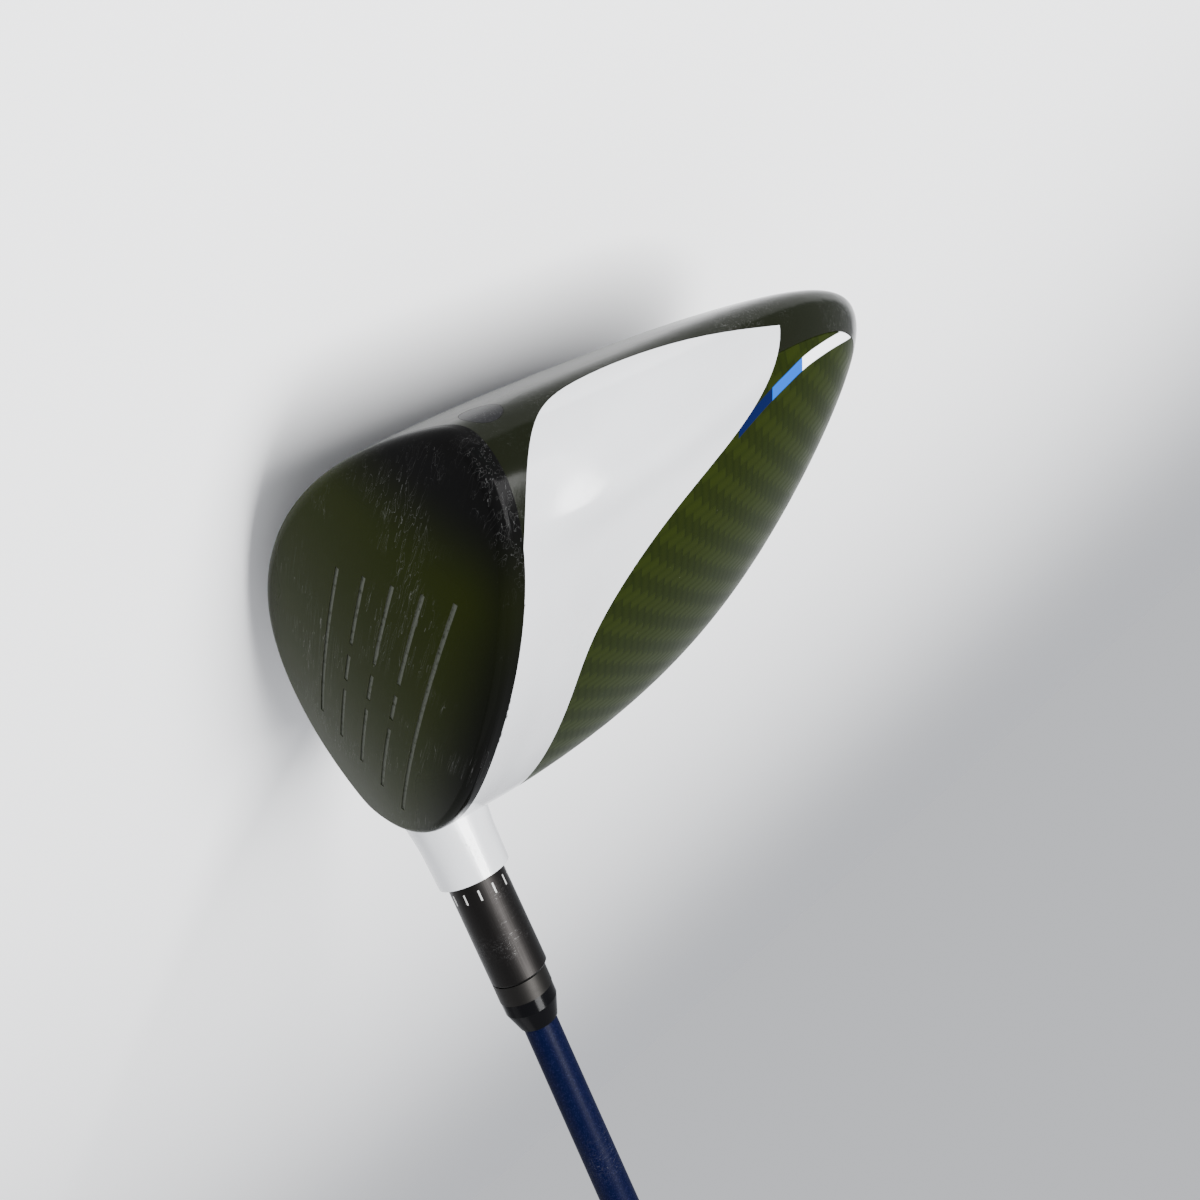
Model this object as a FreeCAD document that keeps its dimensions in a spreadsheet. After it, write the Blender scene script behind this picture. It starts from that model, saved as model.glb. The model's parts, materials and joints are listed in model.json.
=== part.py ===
"""Golf driver: a hollow 460 cc club head, its loft-adjusting sleeve, a tapered shaft and a grip.

The club stands in its address posture.  +Z is up, the club face looks along -Y and the shaft leans
towards +X (the heel side); the toe is on -X.  The head is designed in a frame of its own that stands on
the ground under the face centre, and every piece is then shifted so that the centre of the grip's butt
end is the origin.
"""
import FreeCAD, Part
import math
import os
import re

import Sketcher

from FreeCAD import Placement, Rotation, Vector

doc = FreeCAD.newDocument("golf_driver")
sheet = doc.addObject("Spreadsheet::Sheet", "Sizes")

# ---------------------------------------------------------------- driving dimensions (mm and degrees)
DIMENSIONS = {
    # head as a whole
    "loft_angle": 10.5, "face_radius": 300, "face_centre_height": 32, "face_thickness": 3,
    "toe_reach": 63, "heel_reach": 54, "head_depth": 118.5, "widest_at": 43, "rear_swing": 10.8,
    "front_fullness": 2.55, "rear_fullness": 3.3, "crown_fullness": 2.13, "sole_taper": 1.75,
    "crown_height": 64, "crown_apex_at": 30, "sole_height": 3, "sole_flat_at": 35,
    "skirt_height": 37.7, "tail_height": 39, "wall_thickness": 1.3, "rim_radius": 2.4,
    "front_reserve": 60, "panel_floor": 37, "panel_inset": 5, "ledge_floor": 35, "ledge_width": 7,
    "ledge_thickness": 1.1, "panel_gap": 0.15,
    # score lines
    "line_pitch": 6.1, "line_width": 0.9, "line_depth": 0.25, "line_count": 5, "line_low_half": 23,
    "line_step_half": 3, "line_middle_up": 5.6, "mark_half": 4, "mark_gap": 3.5,
    # hosel and sleeve, measured along the hosel's axis from its rim
    "hosel_lie": 58, "hosel_foot_x": 22.5, "hosel_foot_y": 21, "hosel_rim_height": 62,
    "hosel_radius": 9.1, "tube_radius": 7.6, "bore_radius": 5.8, "bore_depth": 40,
    "seat_thickness": 2.5, "bolt_hole_radius": 2.7, "port_radius": 5,
    "sleeve_radius": 7.2, "collar_length": 26.5, "barrel_radius": 5.75, "barrel_length": 39.6,
    "tooth_count": 12, "tooth_tip_radius": 5.2, "tooth_root_radius": 4.65, "tooth_width": 1.3,
    "tooth_length": 5.5, "tooth_clearance": 0.1, "thread_radius": 2.1,
    "thread_depth": 9, "tip_bore_depth": 27, "shaft_cant": 2, "cant_point": 5,
    "ring_length": 4.8, "ring_radius": 6.8, "ferrule_length": 8, "ferrule_end_radius": 4.9,
    # sleeve bolt and its washer
    "bolt_head_radius": 4.2, "bolt_head_length": 5, "bolt_radius": 2, "bolt_length": 10.5,
    "socket_radius": 2.2, "socket_depth": 3, "washer_radius": 4.6, "washer_thickness": 1,
    # shaft and grip
    "shaft_length": 1110, "tip_radius": 4.3, "tip_straight": 75, "butt_radius": 7.6,
    "tip_bore": 2.1, "butt_bore": 6.3, "grip_length": 267, "grip_mouth_radius": 8.7,
    "grip_palm_radius": 11.6, "grip_butt_radius": 12.6, "grip_waist_at": 51, "cap_radius": 14,
    "cap_thickness": 5, "vent_radius": 1.5, "tape_thickness": 0.25, "tape_length": 258,
    # sole keel and its weight
    "keel_front": 34, "keel_rise_from": 72, "keel_rear": 115, "keel_rise": 18,
    "keel_bend_radius": 60, "keel_top": 30,
    "weight_radius": 7, "weight_length": 6, "weight_recess": 0.6, "weight_screw_radius": 1.75,
    "weight_head_radius": 3.6, "weight_socket_radius": 1.9, "weight_head_length": 3,
    "weight_screw_length": 9, "weight_at": 97,
    "boss_radius": 4.5, "boss_length": 8,
    # sole slot
    "slot_toe_end": -44, "slot_heel_end": 14, "slot_front": 13, "slot_width": 4.5,
    "slot_insert_depth": 4,
    # toe plug, ribs and damping resin
    "plug_radius": 3.2, "plug_length": 4, "plug_at": 15, "plug_height": 36,
    "rib_thickness": 0.8, "rib_height": 6, "rib_toe_x": -30, "rib_middle_x": -6, "rib_start": 22,
    "rib_length": 78, "resin_thickness": 4, "resin_top": 20, "resin_width": 22,
    "resin_toe_x": -38, "resin_heel_x": 14,
}
for row, (alias, number) in enumerate(DIMENSIONS.items(), start=1):
    sheet.set(f"A{row}", alias.replace("_", " "))
    sheet.set(f"B{row}", str(number))
    sheet.setAlias(f"B{row}", alias)
doc.recompute()


def size(expression):
    """The number that an expression in the sheet's aliases stands for."""
    return float(sheet.evalExpression(expression))


def from_sheet(expression):
    """The same expression with each alias named as a cell of the sheet, for setExpression."""
    return re.sub(r"[a-z_]{3,}", lambda word: "Sizes." + word.group(0), expression)


X_AXIS = Vector(1, 0, 0)
Y_AXIS = Vector(0, 1, 0)
Z_AXIS = Vector(0, 0, 1)
FAR = 200

# ---------------------------------------------------------------- frames
lie = size("hosel_lie")
hosel_axis = Vector(math.cos(math.radians(lie)), 0, math.sin(math.radians(lie)))
hosel_foot = Vector(size("hosel_foot_x"), size("hosel_foot_y"), 0)
hosel_rim = hosel_foot + hosel_axis * (size("hosel_rim_height") / hosel_axis.z)
hosel_frame = Placement(hosel_rim, Rotation(Y_AXIS, 90 - lie))

shaft_lie = lie - size("shaft_cant")
shaft_axis = Vector(math.cos(math.radians(shaft_lie)), 0, math.sin(math.radians(shaft_lie)))
cant_point = hosel_rim - hosel_axis * size("cant_point")
shaft_reach = size("shaft_length + cant_point - tip_bore_depth + cap_thickness")
butt = cant_point + shaft_axis * shaft_reach
to_row = Placement(butt * -1, Rotation())
shaft_frame = Placement(cant_point, Rotation(Y_AXIS, 90 - shaft_lie))

face_centre = Vector(0, 0, size("face_centre_height"))
face_frame = Placement(face_centre, Rotation(X_AXIS, 90 - size("loft_angle")))
inward = face_frame.Rotation.multVec(Z_AXIS) * -1

keel_slope = math.tan(math.radians(size("keel_rise")))
weight_mouth = Vector(-1, size("weight_at"), size("weight_at - keel_rise_from") * keel_slope)
weight_frame = Placement(weight_mouth, Rotation(X_AXIS, 180 + size("keel_rise")))


# ---------------------------------------------------------------- helpers
sub_parts = {}


def feature(label, shape, at=Placement(), keep=True):
    """A piece whose shape is worked out from the sheet, placed in the row's frame."""
    item = doc.addObject("Part::Feature", label)
    item.Label = label
    item.Shape = shape
    item.Placement = to_row.multiply(at)
    if keep:
        sub_parts[label] = item
    return item


def cut_away(label, base, tool):
    """A sub-part that is one object of the document cut by another."""
    item = doc.addObject("Part::Cut", label)
    item.Label = label
    item.Base = base
    item.Tool = tool
    sub_parts[label] = item
    return item


def origin_plane(body, role):
    return next(item for item in body.Origin.OriginFeatures if item.Role == role)


def closed_sketch(body, name, plane, corners):
    """A closed outline of straight lines whose corners are pairs of expressions in the sheet."""
    sketch = body.newObject("Sketcher::SketchObject", name)
    sketch.AttachmentSupport = [(origin_plane(body, plane), "")]
    sketch.MapMode = "FlatFace"
    points = [Vector(size(across), size(along), 0) for across, along in corners]
    for start, end in zip(points, points[1:] + points[:1]):
        sketch.addGeometry(Part.LineSegment(start, end), False)
    last = len(points) - 1
    for index in range(len(points)):
        following = 0 if index == last else index + 1
        sketch.addConstraint(Sketcher.Constraint("Coincident", index, 2, following, 1))
    for index, (across, along) in enumerate(corners):
        for kind, expression in (("DistanceX", across), ("DistanceY", along)):
            bound = sketch.addConstraint(
                Sketcher.Constraint(kind, -1, 1, index, 1, size(expression)))
            if expression != "0":
                sketch.setExpression(f"Constraints[{bound}]", from_sheet(expression))
    return sketch


def turned(label, at, corners, keep=True):
    """A piece turned about its own Z axis from a half outline of (radius, height) expressions."""
    body = doc.addObject("PartDesign::Body", label)
    body.Label = label
    sketch = closed_sketch(body, label + "_outline", "XZ_Plane", corners)
    turn = body.newObject("PartDesign::Revolution", label + "_turn")
    turn.Profile = sketch
    turn.ReferenceAxis = (sketch, ["V_Axis"])
    turn.Angle = 360
    sketch.Visibility = False
    body.Placement = to_row.multiply(at)
    if keep:
        sub_parts[label] = body
    return body


def lobed_socket(radius, depth):
    """A six-lobe wrench socket standing on z = 0, to be cut from a screw head."""
    core = Part.makeCylinder(radius * 0.78, depth)
    for lobe in range(6):
        turn = math.radians(lobe * 60)
        offset = Vector(math.cos(turn), math.sin(turn), 0) * radius * 0.76
        core = core.fuse(Part.makeCylinder(radius * 0.26, depth, offset))
    return core


# ---------------------------------------------------------------- the head's rounded volume
RING_POLES = 28
FRONT_ROWS = (-22, -14, -4, 8, 20, 32)
REAR_STEPS = 9


def arc_share(share, power):
    """Height of a superellipse of unit half-axes at a share of its half-width."""
    return max(0.0, 1 - abs(share) ** power) ** (1 / power)


def ring_shape(y, inset):
    """Half-widths, heights and sideways swing of the head's cross-section at depth y."""
    widest = size("widest_at")
    depth = size("head_depth") - inset
    reserve = size("front_reserve")
    if y < widest:
        width = arc_share((widest - y) / (widest + reserve), size("front_fullness"))
    else:
        width = arc_share((y - widest) / (depth - widest), size("rear_fullness"))
    apex = size("crown_apex_at")
    run = (apex + reserve) if y < apex else (depth - apex)
    crown = (1 - min(1, abs(y - apex) / run) ** 2) ** 0.667
    flat = size("sole_flat_at")
    run = (flat + reserve) if y < flat else (depth - flat)
    sole = (1 - min(1, abs(y - flat) / run) ** 2.5) ** 0.667
    tail = size("tail_height")
    middle = size("skirt_height") + (tail - size("skirt_height")) * max(0, min(1, y / depth))
    top = tail + (size("crown_height") - inset - tail) * crown
    bottom = tail - (tail - inset - size("sole_height")) * sole
    swing = -size("rear_swing") * max(0, y / depth) ** 2
    return width, middle, top, bottom, swing


def ring(y, inset):
    """Control points round the head's cross-section at depth y."""
    width, middle, top, bottom, swing = ring_shape(y, inset)
    points = []
    for index in range(RING_POLES):
        turn = 2 * math.pi * (index + 0.5) / RING_POLES
        across = math.cos(turn)
        rise = math.sin(turn)
        reach = (size("heel_reach") if across > 0 else size("toe_reach")) - inset
        side_bend = 2 / size("crown_fullness") if rise > 0 else 1
        rise_bend = side_bend if rise > 0 else size("sole_taper")
        height = (top - middle) if rise > 0 else (middle - bottom)
        x = math.copysign(abs(across) ** side_bend, across) * reach * width
        z = math.copysign(abs(rise) ** rise_bend, rise) * height
        points.append(Vector(swing + x, y, middle + z))
    return points


def pebble(inset=0.0):
    """The closed head volume, shrunk all round by inset, still reaching past the face in front."""
    depth = size("head_depth") - inset
    start = FRONT_ROWS[-1]
    rows = [ring(y, inset) for y in FRONT_ROWS]
    for step in range(1, REAR_STEPS):
        y = start + (depth - start) * math.sin(math.pi / 2 * step / REAR_STEPS)
        rows.append(ring(y, inset))
    almost = start + (depth - start) * math.sin(math.pi / 2 * (REAR_STEPS - 0.45) / REAR_STEPS)
    lip = ring(almost, inset)
    rows.append([Vector(point.x, depth, point.z) for point in lip])
    pole = Vector(-size("rear_swing"), depth, size("tail_height"))
    rows.append([pole] * RING_POLES)
    poles = [[row[index] for row in rows] for index in range(RING_POLES)]
    skin = Part.BSplineSurface()
    inner = len(rows) - 4
    skin.buildFromPolesMultsKnots(
        poles,
        [1] * (RING_POLES + 1),
        [4] + [1] * inner + [4],
        [float(knot) for knot in range(RING_POLES + 1)],
        [float(knot) for knot in range(inner + 2)],
        True, False, 3, 3)
    side = skin.toShape()
    mouth = [edge for edge in side.Edges
             if edge.BoundBox.YMax < FRONT_ROWS[0] + 0.01 and edge.Length > 50]
    cap = Part.Face(Part.Wire(mouth[:1]))
    hull = Part.Compound([side, cap])
    hull.sewShape()
    return Part.Solid(hull.Shells[0])


def face_ball(depth=0.0):
    """The ball whose surface is the face's bulge and roll, or lies a depth behind it."""
    radius = size("face_radius")
    return Part.makeSphere(radius - depth, face_centre + inward * radius)


def curve_wall(points, closing, axis, low, high):
    """A wall that fills one side of a smooth curve: the curve, closed by corners, drawn along an axis."""
    curve = Part.BSplineCurve()
    curve.interpolate([Vector(*point) for point in points])
    corners = [points[-1]] + closing + [points[0]]
    edges = [curve.toShape()]
    edges += [Part.makeLine(Vector(*a), Vector(*b)) for a, b in zip(corners, corners[1:])]
    shape = Part.Face(Part.Wire(edges)).extrude(axis * (high - low))
    shape.translate(axis * low)
    return shape


def plan_wall(inset):
    """A tall wall that fills the head's plan outline behind the face, shrunk by inset."""
    depth = size("head_depth") - inset
    count = 9
    toe = []
    heel = []
    for step in range(count):
        y = depth * math.sin(math.pi / 2 * step / count)
        width, _, _, _, swing = ring_shape(y, inset)
        toe.append((swing - (size("toe_reach") - inset) * width, y, 0))
        heel.append((swing + (size("heel_reach") - inset) * width, y, 0))
    outline = heel + [(-size("rear_swing"), depth, 0)] + toe[::-1]
    return curve_wall(outline, [], Z_AXIS, -FAR, FAR)


def band_wall(shift):
    """Everything in front of the white band's rear edge, moved back by shift."""
    edge = [(66, 50), (50, 35), (32, 28), (10, 26.5), (-12, 26.5), (-28, 28.5), (-39, 36),
            (-48, 49), (-55, 63), (-66, 76)]
    points = [(x, y + shift, 0) for x, y in edge]
    corners = [(-FAR, points[-1][1], 0), (-FAR, -FAR, 0), (FAR, -FAR, 0), (FAR, points[0][1], 0)]
    return curve_wall(points, corners, Z_AXIS, 30, FAR)


def crown_side():
    """Everything above the line where the crown meets the skirt, at the toe and at the heel."""
    toe_line = [(0, 9, 62), (0, 12.5, 53), (0, 16.5, 46), (0, 22, 41), (0, 32, 38.5),
                (0, 52, 39.5), (0, 82, 44)]
    toe = curve_wall(toe_line, [(0, FAR, 44), (0, FAR, FAR), (0, 9, FAR)], X_AXIS, -FAR, 0)
    heel_line = [(0, 4, 44), (0, 14, 40), (0, 30, 38), (0, 60, 38)]
    heel = curve_wall(heel_line, [(0, FAR, 38), (0, FAR, FAR), (0, 4, FAR)], X_AXIS, 0, FAR)
    return toe.fuse(heel)


def along_hosel(radius, low, high):
    """A cylinder on the hosel's axis between two distances from the rim."""
    shape = Part.makeCylinder(radius, high - low, Vector(0, 0, low))
    shape.Placement = hosel_frame
    return shape


def in_weight_frame(shape):
    shape.Placement = weight_frame
    return shape


# ---------------------------------------------------------------- volumes that the pieces share
outer = pebble().common(face_ball())
rim = [edge for edge in outer.Edges if edge.Length > 100 and edge.BoundBox.YMax < 60]
outer = outer.makeFillet(size("rim_radius"), rim)
flare_curve = Part.BSplineCurve()
flare_curve.interpolate([Vector(r, 0, z) for r, z in (
    (9.3, -7), (9.9, -14), (10.9, -21), (11.2, -28), (10.2, -37), (7.8, -46))])
flare_corners = [Vector(7.8, 0, -46), Vector(0, 0, -46), Vector(), Vector(size("hosel_radius"), 0, 0),
                 Vector(9.3, 0, -7)]
flare_edges = [flare_curve.toShape()]
flare_edges += [Part.makeLine(a, b) for a, b in zip(flare_corners, flare_corners[1:])]
flare = Part.Face(Part.Wire(flare_edges)).revolve(Vector(), Z_AXIS, 360)
flare.Placement = hosel_frame
wall = size("wall_thickness")
cavity = pebble(wall)
behind_face = face_ball(size("face_thickness"))
face_slab = outer.cut(behind_face)
skin = outer.fuse(flare).cut(face_slab).cut(cavity)
inner_layer = cavity.cut(pebble(wall + size("ledge_thickness")))
crown_zone = crown_side()
band_zone = band_wall(0)
panel_inset = size("panel_inset")
panel_zone = plan_wall(panel_inset)
upper_half = Part.makeBox(2 * FAR, 2 * FAR, FAR, Vector(-FAR, -FAR, size("panel_floor")))
hosel_hole = along_hosel(size("tube_radius"), -FAR, FAR)


# ---------------------------------------------------------------- face
def score_grooves():
    """Shallow grooves that follow the face, the middle ones broken round the centre mark."""
    depth = size("line_depth")
    width = size("line_width")
    layer = face_ball().cut(face_ball(depth))
    count = int(size("line_count"))
    grooves = []
    for index in range(count):
        half = size("line_low_half") + index * size("line_step_half")
        up = size("line_middle_up") + (index - (count - 1) / 2) * size("line_pitch")
        mark = size("mark_half")
        gap = size("mark_gap")
        if index in (0, count - 1):
            runs = [(-half, half)]
        else:
            runs = [(-half, -mark - gap), (-mark, mark), (mark + gap, half)]
        for start, end in runs:
            bar = Part.makeBox(end - start, width, 20, Vector(start, up - width / 2, -10))
            bar.Placement = face_frame
            grooves.append(bar.common(layer))
    return grooves


feature("face_plate", face_slab.cut(Part.Compound(score_grooves())))

# ---------------------------------------------------------------- crown band with the hosel's flare
feature("crown_band", skin.common(crown_zone).common(band_zone).cut(hosel_hole))

# ---------------------------------------------------------------- crown panel and the ledge under it
gap = size("panel_gap")
panel = skin.common(upper_half).common(plan_wall(panel_inset + gap)).cut(band_wall(gap))
feature("crown_panel", panel)
ledge_zone = Part.makeBox(2 * FAR, 2 * FAR, FAR, Vector(-FAR, -FAR, size("ledge_floor")))
ledge_lap = 2
ledge_width = size("ledge_width")
ledge = inner_layer.common(ledge_zone).common(plan_wall(panel_inset - ledge_lap)).cut(band_wall(-ledge_lap))
ledge = ledge.cut(plan_wall(panel_inset + ledge_width).cut(band_wall(ledge_width)))

# ---------------------------------------------------------------- chassis: skirt, sole and inner frame
half_slot = size("slot_width") / 2
slot_middle = size("slot_front") + half_slot


def slot_box(clearance):
    """The sole slot's outline, a long box with rounded ends, shrunk by a clearance."""
    width = half_slot - clearance
    start = size("slot_toe_end") + half_slot
    end = size("slot_heel_end") - half_slot
    bar = Part.makeBox(end - start, 2 * width, FAR, Vector(start, slot_middle - width, -FAR + 20))
    for x in (start, end):
        bar = bar.fuse(Part.makeCylinder(width, FAR, Vector(x, slot_middle, -FAR + 20)))
    return bar.removeSplitter()


def sole_window(clearance, mirror=1):
    """The plan outline of a sole panel, beside the keel on the toe side or the heel side."""
    outline = [(-22, 27), (-38, 29), (-47, 42), (-46, 62), (-38, 82), (-26, 90), (-19, 74), (-16, 50)]
    if mirror < 0:
        outline = [(28, 35), (38, 37), (42, 50), (38, 67), (29, 82), (21, 83), (19, 66), (22, 46)]
    middle_x = sum(x for x, _ in outline) / len(outline)
    middle_y = sum(y for _, y in outline) / len(outline)
    shrink = 1 - clearance / 18
    curve = Part.BSplineCurve()
    curve.interpolate([Vector(middle_x + (x - middle_x) * shrink, middle_y + (y - middle_y) * shrink, 0)
                       for x, y in outline], True)
    face = Part.Face(Part.Wire(curve.toShape()))
    return face.extrude(Vector(0, 0, 30))


plug_start = Vector(-size("toe_reach") - 6, size("plug_at"), size("plug_height"))
plug_frame = Placement(plug_start, Rotation(Y_AXIS, 90))


def plug_hole(clearance):
    shape = Part.makeCylinder(size("plug_radius") - clearance, 20)
    shape.Placement = plug_frame
    return shape


boss = in_weight_frame(Part.makeCylinder(
    size("boss_radius"), size("boss_length + weight_length"),
    Vector(0, 0, -size("boss_length + weight_length + weight_recess"))))
weight_pocket = in_weight_frame(Part.makeCylinder(
    size("weight_radius") + 0.3, FAR, Vector(0, 0, -size("weight_length + weight_recess"))))
thread_end = -size("weight_screw_length + weight_recess") - 1.5
weight_thread = in_weight_frame(
    Part.makeCylinder(size("weight_screw_radius") + 0.05, FAR, Vector(0, 0, thread_end)))

ribs = []
for x in (size("rib_toe_x"), size("rib_middle_x")):
    slab = Part.makeBox(size("rib_thickness"), size("rib_length"), size("tail_height"),
                        Vector(x, size("rib_start"), 0))
    ribs.append(slab.common(cavity).cut(pebble(wall + size("rib_height"))))

frame = skin.cut(crown_zone.common(band_zone)).cut(upper_half.common(panel_zone).cut(band_wall(0)))
frame = frame.fuse([ledge, boss.common(outer)] + ribs)
for tool in (hosel_hole, slot_box(0), sole_window(0), sole_window(0, -1), plug_hole(0),
             weight_pocket, weight_thread):
    frame = frame.cut(tool)
feature("chassis", frame)

for label, side in (("sole_panel_toe", 1), ("sole_panel_heel", -1)):
    feature(label, skin.common(sole_window(gap, side)))
filler = pebble(0.3).cut(pebble(size("slot_insert_depth"))).common(slot_box(0))
feature("slot_insert", filler)
feature("toe_plug", outer.cut(pebble(size("plug_length"))).common(plug_hole(0.05)))

resin_band = behind_face.cut(face_ball(size("face_thickness + resin_thickness"))).common(cavity)
resin = [resin_band.common(Part.makeBox(size("resin_width"), FAR, size("resin_top"), Vector(x, -FAR / 2, 0)))
         for x in (size("resin_toe_x"), size("resin_heel_x"))]
feature("damping_resin", Part.Compound(resin))

# ---------------------------------------------------------------- keel on the sole
keel_rear = size("keel_rear")
rise_from = size("keel_rise_from")
rise = math.radians(size("keel_rise"))
bend_radius = size("keel_bend_radius")
bend_run = bend_radius * math.tan(rise / 2)
bend_start = Vector(0, rise_from - bend_run, 0)
bend_end = Vector(0, rise_from + bend_run * math.cos(rise), bend_run * math.sin(rise))
bend_middle = Vector(0, bend_start.y + bend_radius * math.sin(rise / 2),
                     bend_radius * (1 - math.cos(rise / 2)))
bottom = [
    Part.LineSegment(Vector(0, size("keel_front"), 0), bend_start),
    Part.Arc(bend_start, bend_middle, bend_end),
    Part.LineSegment(bend_end, Vector(0, keel_rear, (keel_rear - rise_from) * keel_slope))]
sides = Part.makePolygon([
    Vector(0, keel_rear, (keel_rear - rise_from) * keel_slope), Vector(0, keel_rear, size("keel_top")),
    Vector(0, size("keel_front"), size("keel_top")), Vector(0, size("keel_front"), 0)])
keel_side = Part.Wire([segment.toShape() for segment in bottom] + sides.Edges)
keel_plan = Part.makePolygon([
    Vector(8, 33, -1), Vector(18, 33, -1), Vector(12, FAR, -1), Vector(-38, FAR, -1), Vector(8, 33, -1)])
keel_body = Part.Face(keel_side).extrude(X_AXIS * 80)
keel_body.translate(X_AXIS * -40)
keel_body = keel_body.common(Part.Face(keel_plan).extrude(Z_AXIS * 60)).common(plan_wall(2))
keel_edges = [edge for edge in keel_body.Edges if edge.BoundBox.ZMax < 16 and edge.BoundBox.YLength > 4]
keel_body = keel_body.makeFillet(2, keel_edges)
keel = keel_body.cut(outer).cut(weight_pocket).cut(weight_thread)
feature("sole_keel", keel)

# ---------------------------------------------------------------- rear weight and its screw
slug = Part.makeCylinder(size("weight_radius"), size("weight_length"),
                         Vector(0, 0, -size("weight_length + weight_recess")))
slug = slug.makeChamfer(0.5, [edge for edge in slug.Edges if edge.BoundBox.ZMin > -1])
head_seat = -size("weight_recess + weight_head_length") - 0.2
slug = slug.cut(Part.makeCylinder(size("weight_head_radius") + 0.2, 10, Vector(0, 0, head_seat)))
slug = slug.cut(Part.makeCylinder(size("weight_screw_radius") + 0.2, 20, Vector(0, 0, -10)))
feature("weight_slug", slug, weight_frame)
screw = Part.makeCylinder(size("weight_head_radius"), size("weight_head_length"), Vector(0, 0, head_seat))
screw = screw.makeChamfer(0.4, [edge for edge in screw.Edges if edge.BoundBox.ZMin > head_seat + 1])
screw = screw.fuse(Part.makeCylinder(
    size("weight_screw_radius"), size("weight_screw_length") - size("weight_head_length"),
    Vector(0, 0, -size("weight_screw_length + weight_recess"))))
weight_socket = lobed_socket(size("weight_socket_radius"), size("weight_head_length"))
weight_socket.translate(Vector(0, 0, head_seat + 1))
feature("weight_screw", screw.cut(weight_socket), weight_frame)

# ---------------------------------------------------------------- hosel tube and its spline insert
tube = turned("hosel_tube_blank", hosel_frame, [
    ("bore_radius", "0"), ("tube_radius", "0"), ("tube_radius", "-76"), ("port_radius", "-76"),
    ("port_radius", "-bore_depth - seat_thickness"), ("bolt_hole_radius", "-bore_depth - seat_thickness"),
    ("bolt_hole_radius", "-bore_depth"), ("bore_radius", "-bore_depth")], keep=False)
below_sole = feature("ground_side", along_hosel(size("tube_radius") + 1, -90, -50).cut(outer), keep=False)
cut_away("hosel_tube", tube, below_sole)


def spline_grooves(root, width):
    """The grooves of the twelve-tooth spline, round the hosel's axis at the bottom of its bore."""
    length = size("tooth_length") + 1
    grooves = []
    for index in range(int(size("tooth_count"))):
        bar = Part.makeBox(8, width, length, Vector(root, -width / 2, -size("bore_depth") - 0.3))
        bar.rotate(Vector(), Z_AXIS, index * 360 / size("tooth_count"))
        grooves.append(bar)
    return grooves


clearance = size("tooth_clearance")
insert = Part.makeCylinder(size("bore_radius"), size("tooth_length"), Vector(0, 0, -size("bore_depth")))
insert = insert.cut(Part.makeCylinder(size("tooth_root_radius") + clearance, FAR, Vector(0, 0, -FAR / 2)))
teeth_space = Part.makeCylinder(size("tooth_tip_radius") + clearance, FAR, Vector(0, 0, -FAR / 2))
lands = Part.Compound(spline_grooves(size("tooth_root_radius") - 1, size("tooth_width") - 2 * clearance))
feature("spline_insert", insert.cut(teeth_space.cut(lands)), hosel_frame)

# ---------------------------------------------------------------- loft sleeve
sleeve = turned("loft_sleeve_blank", hosel_frame, [
    ("thread_radius", "-barrel_length + thread_depth"), ("thread_radius", "-barrel_length"),
    ("tooth_tip_radius", "-barrel_length"), ("tooth_tip_radius", "-bore_depth + tooth_length + 0.3"),
    ("barrel_radius", "-bore_depth + tooth_length + 1.2"), ("barrel_radius", "0"),
    ("sleeve_radius", "0"), ("sleeve_radius", "collar_length - 0.6"),
    ("sleeve_radius - 0.6", "collar_length"), ("0", "collar_length"),
    ("0", "-barrel_length + thread_depth")], keep=False)
groove_sketch = closed_sketch(sleeve, "spline_groove", "XY_Plane", [
    ("tooth_root_radius", "-tooth_width / 2"), ("sleeve_radius", "-tooth_width / 2"),
    ("sleeve_radius", "tooth_width / 2"), ("tooth_root_radius", "tooth_width / 2")])
groove_sketch.AttachmentOffset = Placement(Vector(0, 0, -size("barrel_length")), Rotation())
groove = sleeve.newObject("PartDesign::Pocket", "spline_groove_cut")
groove.Profile = groove_sketch
groove.Reversed = True
groove.setExpression("Length", from_sheet("tooth_length"))
grooves = sleeve.newObject("PartDesign::PolarPattern", "spline_grooves")
grooves.Originals = [groove]
grooves.Axis = (groove_sketch, ["N_Axis"])
grooves.Angle = 360
grooves.setExpression("Occurrences", from_sheet("tooth_count"))
sleeve.Tip = grooves

tip_bore = doc.addObject("Part::Cylinder", "tip_bore")
tip_bore.setExpression("Radius", from_sheet("tip_radius + 0.02"))
tip_bore.Height = FAR
tip_bore.Placement = to_row.multiply(shaft_frame).multiply(
    Placement(Vector(0, 0, size("cant_point - tip_bore_depth")), Rotation()))
cut_away("loft_sleeve", sleeve, tip_bore)

# ---------------------------------------------------------------- ring, ferrule, shaft and grip
COLLAR = "(collar_length + cant_point + 0.3)"
TIP = "(cant_point - tip_bore_depth)"
END = f"({TIP} + shaft_length)"
STRAIGHT = f"({TIP} + tip_straight)"
FIT = "(tip_radius + 0.02)"
SLOPE = "((butt_radius - tip_radius) / (shaft_length - tip_straight))"
GRIP_MOUTH = f"({END} + cap_thickness - grip_length)"
TAPE_MOUTH = f"({END} - tape_length)"
AT_GRIP_MOUTH = f"(butt_radius - {SLOPE} * (grip_length - cap_thickness) + tape_thickness)"
AT_TAPE_MOUTH = f"(butt_radius - {SLOPE} * tape_length)"

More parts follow.
